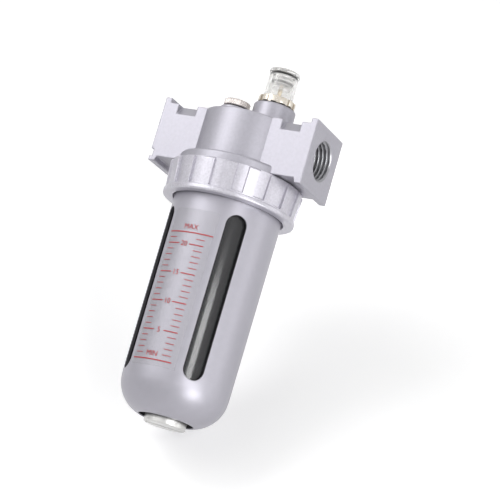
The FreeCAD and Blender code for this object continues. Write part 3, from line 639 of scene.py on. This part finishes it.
def slot_cutter(azimuth):
    """Slot cutter whose outer edge flares a little where it leaves the guard's skin."""
    ends = []
    for height, first in ((SLOT_TOP - SLOT_HALF_WIDTH, 0),
                          (SLOT_BOTTOM + SLOT_HALF_WIDTH, 180)):
        ends += [(math.radians(first + 180 * k / SLOT_END_STEPS), height)
                 for k in range(SLOT_END_STEPS + 1)]
    verts, rings = [], []
    for level, widen in ((-2.2, 0.0), (-0.16, 0.0), (0.0, 0.16), (0.6, 0.76)):
        ring = []
        for turn, centre in ends:
            across = (SLOT_HALF_WIDTH + widen) * math.cos(turn)
            height = centre + (SLOT_HALF_WIDTH + widen) * math.sin(turn)
            radius = guard_radius(height) + level
            angle = math.radians(azimuth - 90) + across / SLOT_SKIN_RADIUS
            ring.append(len(verts))
            verts.append((radius * math.cos(angle), radius * math.sin(angle), height))
        rings.append(ring)
    faces = skin(rings)[:3 * len(ends)]
    faces += [tuple(rings[0]), tuple(reversed(rings[-1]))]
    return make("slot", verts, faces)


def dark_in_guard(face):
    """Whether a face of the guard is a slot's wall or lies on the inside of the shell, where
    painted shade goes.
    """
    centre, normal = face.center, face.normal
    reach = math.hypot(centre.x, centre.y)
    outward = centre.x * normal.x + centre.y * normal.y
    if abs(outward) < 0.3 * reach and SLOT_BOTTOM < centre.z < SLOT_TOP:
        return True
    if outward > -0.02 or centre.z > -18:
        return False
    if centre.z > GUARD_BEND_Z + 0.1:
        return reach < guard_radius(centre.z) - 0.85
    from_bend = math.hypot(reach - GUARD_BEND_X, centre.z - GUARD_BEND_Z)
    return reach > 5.9 and from_bend < GUARD_BEND_RADIUS - 0.7


def guard():
    wall = [(guard_radius(z), z) for z in spaced(-19.4, -77.0, 3.0)]
    inner = [(guard_radius(z) - GUARD_WALL, z) for z in spaced(-77.0, -19.4, 3.0)]
    profile = [(16.07, GUARD_FLANGE_TOP), (GUARD_FLANGE_RADIUS, GUARD_FLANGE_TOP),
               (GUARD_FLANGE_RADIUS, RING_LIP_TOP), (GUARD_TOP_RADIUS, RING_LIP_TOP)] + wall
    profile += bend(GUARD_BEND_X, GUARD_BEND_Z, GUARD_BEND_RADIUS, 0, GUARD_BEND_END)
    profile += [(8.75, -87.87), (8.62, -87.75), (8.6, -87.5), (8.6, -86.96)]
    profile += bend(GUARD_BEND_X, GUARD_BEND_Z, GUARD_BEND_RADIUS - GUARD_WALL,
                    GUARD_BEND_END, 0) + inner
    shell = lathe("guard_shell", profile, 180, step=5)
    combine(shell, [slot_cutter(SLOT_AZIMUTH + 360 // SLOTS * index) for index in range(SLOTS)])
    shell.data.materials.append(guard_paint)
    shell.data.materials.append(guard_inside_painted_shade)
    # Faces inside the guard and on the slot walls get the painted shade
    for face in shell.data.polygons:
        if dark_in_guard(face):
            face.material_index = 1
    dress(shell, "bowl_unit", guard_paint, ["bowl_guard"], 30)


guard()


# Clear bowl, siphon tube and filter

def bowl():
    outside = [(BOWL_MOUTH_RADIUS, BOWL_TOP), (BOWL_FLANGE, BOWL_TOP, 0.15),
               (BOWL_FLANGE, BOWL_FLANGE_BOTTOM, 0.15), (BOWL_RADIUS, BOWL_FLANGE_BOTTOM),
               (BOWL_RADIUS, BOWL_BOTTOM, 7.7), (BOWL_DRAIN_RADIUS, BOWL_BOTTOM)]
    inside = [(BOWL_DRAIN_RADIUS, BOWL_FLOOR), (BOWL_BORE, BOWL_FLOOR, 5.7),
              (BOWL_BORE, BOWL_MOUTH_FLOOR), (BOWL_MOUTH_RADIUS, BOWL_MOUTH_FLOOR)]
    shell = lathe("oil_bowl", outside + inside, 128, step=8)
    dress(shell, "bowl_unit", bowl_clear, ["bowl"], 35)
    tube = lathe("pickup_tube", [(PICKUP_BORE, PICKUP_BOTTOM), (PICKUP_RADIUS, PICKUP_BOTTOM),
                                 (PICKUP_RADIUS, PICKUP_TOP), (PICKUP_BORE, PICKUP_TOP)],
                 40, RISER_X, RISER_Y)
    dress(tube, "body", tube_clear, ["siphon_tube"])
    cup = lathe("pickup_filter", [(0, FILTER_BOTTOM), (FILTER_RADIUS, FILTER_BOTTOM, 0.4),
                                  (FILTER_RADIUS, FILTER_TOP, 0.4), (FILTER_BORE, FILTER_TOP),
                                  (FILTER_BORE, FILTER_FLOOR), (0, FILTER_FLOOR)],
                64, RISER_X, RISER_Y)
    dress(cup, "body", bronze, ["siphon_filter"])


bowl()


# Drain fitting

def drain():
    bush = lathe("drain_bush", [(BUSH_BORE, BUSH_RECESS_TOP),
                                (BUSH_RECESS_RADIUS, BUSH_RECESS_TOP),
                                (BUSH_RECESS_RADIUS, BUSH_BOTTOM, 0.12),
                                (BUSH_RADIUS, BUSH_BOTTOM, 0.3), (BUSH_RADIUS, BUSH_SEAT, 0.3),
                                (BUSH_SHANK_RADIUS, BUSH_SEAT), (BUSH_SHANK_RADIUS, BUSH_TOP),
                                (BUSH_BORE, BUSH_TOP)], 96, step=10)
    dress(bush, "bowl_unit", drain_nickel, ["drain_body"], 35)
    gasket = lathe("drain_washer", [(4.5, -86.18), (6.4, -86.18, 0.25), (6.4, -85.22, 0.25),
                                    (4.5, -85.22)], 80)
    dress(gasket, "bowl_unit", seal_black, ["drain_gasket"])
    plug = lathe("drain_screw", [(0, PART_BOTTOM), (DRAIN_HEAD_RADIUS, PART_BOTTOM, 0.25),
                                 (DRAIN_HEAD_RADIUS, DRAIN_HEAD_TOP),
                                 (DRAIN_NECK_RADIUS, DRAIN_HEAD_TOP),
                                 (DRAIN_NECK_RADIUS, DRAIN_NECK_TOP),
                                 (DRAIN_STEM_RADIUS, DRAIN_NECK_TOP),
                                 (DRAIN_STEM_RADIUS, DRAIN_STEM_TOP), (0, DRAIN_STEM_TOP)],
                 96, step=10)
    near, far = -DRAIN_SLOT_HALF_WIDTH, DRAIN_SLOT_HALF_WIDTH
    cut = prism("slot", [(-7, near), (7, near), (7, far), (-7, far)],
                PART_BOTTOM - 1.2, DRAIN_SLOT_TOP, axis="z")
    combine(plug, [moved(cut, Matrix.Rotation(math.radians(DRAIN_SLOT_TURN), 4, "Z"))])
    soften(plug, 0.06, 2, 50)
    dress(plug, "drain_plug", drain_nickel, ["drain_plug"], 35, weighted=True)


drain()


# Level scale on the guard

def wrap(across, height, lift):
    """Point on the guard from its distance along the skin from -Y and its height."""
    radius = guard_radius(height) + lift
    angle = across / SCALE_SKIN_RADIUS - math.pi / 2
    return (radius * math.cos(angle), radius * math.sin(angle), height)


def arc(degrees):
    return math.radians(degrees) * SCALE_SKIN_RADIUS


def level_film():
    columns = spaced(arc(FILM_LEFT), arc(FILM_RIGHT), 0.5)
    rows = spaced(FILM_BOTTOM, FILM_TOP, 3.0)
    verts, faces = [], []
    for lift in FILM_LIFTS:
        verts += [wrap(a, z, lift) for z in rows for a in columns]
    wide, tall = len(columns), len(rows)
    count = wide * tall
    for r in range(tall - 1):
        for c in range(wide - 1):
            a = r * wide + c
            faces.append((a, a + wide, a + wide + 1, a + 1))
            faces.append((count + a, count + a + 1, count + a + wide + 1, count + a + wide))
    edge = list(range(wide))
    edge += [r * wide + wide - 1 for r in range(1, tall)]
    edge += [(tall - 1) * wide + c for c in range(wide - 2, -1, -1)]
    edge += [r * wide for r in range(tall - 2, 0, -1)]
    for a, b in zip(edge, edge[1:] + edge[:1]):
        faces.append((a, b, count + b, count + a))
    film = make("level_film", verts, faces)
    dress(film, "bowl_unit", label_film, ["level_label"], 30)


def level_print():
    verts, faces = [], []

    def bar(left, right, height, thick):
        low, high = height - thick / 2, height + thick / 2
        stops = spaced(left, right, 0.6)
        for a, b in zip(stops, stops[1:]):
            start = len(verts)
            for across, z in ((a, low), (b, low), (b, high), (a, high)):
                verts.append(wrap(across, z, INK_LIFT))
            faces.append((start, start + 1, start + 2, start + 3))

    def words(text, across, height):
        curve = bpy.data.curves.new("words", "FONT")
        curve.body, curve.size = text, LETTER_SIZE
        curve.align_x, curve.align_y = "CENTER", "CENTER"
        obj = add_object("words", curve)
        graph = bpy.context.evaluated_depsgraph_get()
        mesh = bpy.data.meshes.new_from_object(obj.evaluated_get(graph))
        start = len(verts)
        verts.extend(wrap(across + v.co.x, height + v.co.y, INK_LIFT) for v in mesh.vertices)
        faces.extend(tuple(start + k for k in face.vertices) for face in mesh.polygons)
        bpy.data.objects.remove(obj, do_unlink=True)

    bar(arc(-30.5), arc(21.5), SCALE_TOP, 0.34)
    bar(arc(-31.0), arc(17.0), SCALE_BOTTOM, 0.34)
    words("MAX", arc(-4.5), SCALE_TOP + LETTER_RISE)
    words("MIN", arc(-7.0), SCALE_BOTTOM + LETTER_RISE)
    left, right, middle = arc(-28.5), arc(14.5), arc(-7.0)
    for index in range(1, SCALE_STEPS):
        height = SCALE_BOTTOM + (SCALE_TOP - SCALE_BOTTOM) * index / SCALE_STEPS
        main = index % SCALE_MAIN == 0
        long, thick = (4.6, 0.30) if main else (2.8, 0.2)
        bar(left, left + long, height, thick)
        bar(right - long, right, height, thick)
        if main:
            words(str(index), middle, height)
    marks = make("level_marks", verts, faces)
    dress(marks, "bowl_unit", label_red, (), 30)


level_film()
level_print()


# CAD pieces that stay in view

kept = {"damper_holder": acetal, "flow_damper": soft_rubber, "check_ball": ball_steel,
        "check_ball_retainer": brass, "siphon_fitting": brass, "bowl_seal": seal_black,
        "drain_nut": drain_nickel, "drain_plug_seal": seal_black}
for name, finish in kept.items():
    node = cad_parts[name]
    if node.material_slots:
        for row in node.material_slots:
            row.material = finish
    else:
        node.data.materials.append(finish)


# Camera, fitted to the photograph

CAMERA_AZIMUTH, CAMERA_ELEVATION, CAMERA_ROLL = 27.263, -12.563, -16.281
CAMERA_DISTANCE, CAMERA_SHIFT_X, CAMERA_SHIFT_Y = 700.0, -1.332, 30.926
FOCAL_PIXELS, PICTURE_PIXELS, SENSOR_WIDTH = 2261.4, 500, 36.0


def direction(azimuth, elevation):
    """Unit vector out from the part, from an azimuth in radians round from -Y."""
    flat = math.cos(elevation)
    return Vector((math.sin(azimuth) * flat, -math.cos(azimuth) * flat, math.sin(elevation)))


turn, rise, roll = (math.radians(v) for v in (CAMERA_AZIMUTH, CAMERA_ELEVATION, CAMERA_ROLL))
back = direction(turn, rise)
level = Vector((math.cos(turn), math.sin(turn), 0))
over = back.cross(level)
right = level * math.cos(roll) - over * math.sin(roll)
up = level * math.sin(roll) + over * math.cos(roll)
spot = back * CAMERA_DISTANCE - right * CAMERA_SHIFT_X - up * CAMERA_SHIFT_Y

camera_data = bpy.data.cameras.new("camera")
camera_data.sensor_width = SENSOR_WIDTH
camera_data.lens = SENSOR_WIDTH * FOCAL_PIXELS / PICTURE_PIXELS
camera_data.clip_start, camera_data.clip_end = 0.01, 20.0
camera = add_object("camera", camera_data)
pose = Matrix((right, up, back)).transposed().to_4x4()
pose.translation = (spot + Vector((HALF_LENGTH, 0, 0))) * MM
camera.matrix_world = pose
bpy.context.scene.camera = camera


# Lamps, world and floor

LAMP_AIM = Vector((HALF_LENGTH, 0, -35)) * MM
LAMP_DISTANCE = 0.75

# Azimuth and elevation in degrees, width and height in metres, power in watts
LAMPS = {"key": (-36, 18, 0.28, 0.38, 0.85),
         "high_key": (-30, 35, 0.3, 0.3, 1.3),
         "front": (-10, 14, 0.40, 0.35, 0.45),
         "top": (5, 70, 0.5, 0.5, 0.6),
         "low_side": (68, -20, 0.30, 0.42, 2.5),
         "streak": (48, 4, 0.17, 0.12, 0.9),
         "right_rim": (108, 6, 0.25, 0.4, 0.6)}

for name, (azimuth, elevation, wide, tall, power) in LAMPS.items():
    way = direction(math.radians(azimuth), math.radians(elevation))
    data = bpy.data.lights.new(name, "AREA")
    data.shape, data.size, data.size_y, data.energy = "RECTANGLE", wide, tall, power
    lamp = add_object(name, data)
    lamp.location = LAMP_AIM + way * LAMP_DISTANCE
    lamp.rotation_mode = "QUATERNION"
    lamp.rotation_quaternion = (-way).to_track_quat("-Z", "Y")

WORLD_LIGHT, WORLD_SEEN = 0.17, 1.0
FLOOR_COLOUR, FLOOR_GLOW = 0.95, 0.38
FLOOR_TILT, FLOOR_DROP, FLOOR_GAP, FLOOR_REACH = 40, 14.0, 4.0, 1500.0


def background_rays(nodes, links):
    """1 for the rays that show the background: camera, glossy and transmission rays."""
    path = nodes.new("ShaderNodeLightPath")
    seen = path.outputs["Is Camera Ray"]
    for kind in ("Is Glossy Ray", "Is Transmission Ray"):
        either = nodes.new("ShaderNodeMath")
        either.operation = "MAXIMUM"
        links.new(seen, either.inputs[0])
        links.new(path.outputs[kind], either.inputs[1])
        seen = either.outputs[0]
    return seen


def pale_world():
    world = bpy.data.worlds.new("world")
    bpy.context.scene.world = world
    world.use_nodes = True
    nodes, links = world.node_tree.nodes, world.node_tree.links
    strength = nodes.new("ShaderNodeMapRange")
    strength.inputs["To Min"].default_value = WORLD_LIGHT
    strength.inputs["To Max"].default_value = WORLD_SEEN
    links.new(background_rays(nodes, links), strength.inputs["Value"])
    links.new(strength.outputs["Result"], nodes["Background"].inputs["Strength"])
    nodes["Background"].inputs["Color"].default_value = (1, 1, 1, 1)


def floor_material():
    """Matt white that glows a little for background rays; its back is see-through."""
    made = bpy.data.materials.new("floor_pale")
    made.use_nodes = True
    nodes, links = made.node_tree.nodes, made.node_tree.links
    nodes.remove(nodes["Principled BSDF"])
    matt = nodes.new("ShaderNodeBsdfDiffuse")
    matt.inputs["Color"].default_value = (FLOOR_COLOUR, FLOOR_COLOUR, FLOOR_COLOUR, 1)
    share = nodes.new("ShaderNodeMath")
    share.operation = "MULTIPLY"
    share.inputs[1].default_value = FLOOR_GLOW
    links.new(background_rays(nodes, links), share.inputs[0])
    glow = nodes.new("ShaderNodeEmission")
    links.new(share.outputs[0], glow.inputs["Strength"])
    both = nodes.new("ShaderNodeAddShader")
    links.new(matt.outputs[0], both.inputs[0])
    links.new(glow.outputs[0], both.inputs[1])
    clear = nodes.new("ShaderNodeBsdfTransparent")
    side = nodes.new("ShaderNodeNewGeometry")
    mix = nodes.new("ShaderNodeMixShader")
    links.new(side.outputs["Backfacing"], mix.inputs["Fac"])
    links.new(both.outputs[0], mix.inputs[1])
    links.new(clear.outputs[0], mix.inputs[2])
    links.new(mix.outputs[0], nodes["Material Output"].inputs["Surface"])
    return made


def floor():
    """Pale table under the leaning unit; its underside lets other views through."""
    tilt = math.radians(FLOOR_TILT)
    normal = up * math.cos(tilt) + back * math.sin(tilt)
    along = normal.cross(right)
    middle = Vector((0, 0, PART_BOTTOM)) - up * FLOOR_DROP - normal * FLOOR_GAP
    corners = [middle + right * (a * FLOOR_REACH) + along * (b * FLOOR_REACH)
               for a, b in ((-1, -1), (1, -1), (1, 1), (-1, 1))]
    mesh = bpy.data.meshes.new("floor")
    mesh.from_pydata([tuple(v) for v in corners], [], [(0, 1, 2, 3)])
    mesh.update()
    if mesh.polygons[0].normal.dot(normal) < 0:
        mesh.flip_normals()
    mesh.transform(TO_FRAME)
    mesh.materials.append(floor_material())
    add_object("floor", mesh)


pale_world()
floor()

bpy.context.scene.view_settings.view_transform = "Standard"
